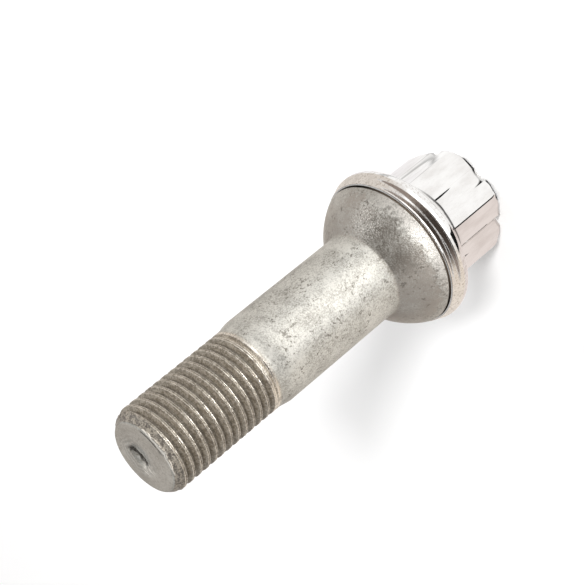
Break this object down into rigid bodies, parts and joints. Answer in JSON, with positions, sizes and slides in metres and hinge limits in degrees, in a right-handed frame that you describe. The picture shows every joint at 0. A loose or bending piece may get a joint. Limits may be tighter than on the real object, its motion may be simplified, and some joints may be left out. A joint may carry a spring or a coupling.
{
  "type": "wheel bolt",
  "caption": "M14 x 1.5 wheel bolt with a ball seat and a polished sheet cap crimped over its grooved 17 mm hexagon head.",
  "frame": {"origin": "middle of the head's outer end face, which is the bottom of the part as it stands on its head", "axes": "+Z along the bolt's axis from the head to the threaded tip, -Y square to one flat of the hexagon, +X along that flat"},
  "size_m": [0.0264, 0.0264, 0.07],
  "materials": {
    "coated_steel": "matt grey zinc-flake coating over forged steel",
    "polished_cap": "polished drawn sheet steel"
  },
  "bodies": {
    "root": {"bolt": "coated_steel", "head_cap": "polished_cap"}
  },
  "joints": []
}
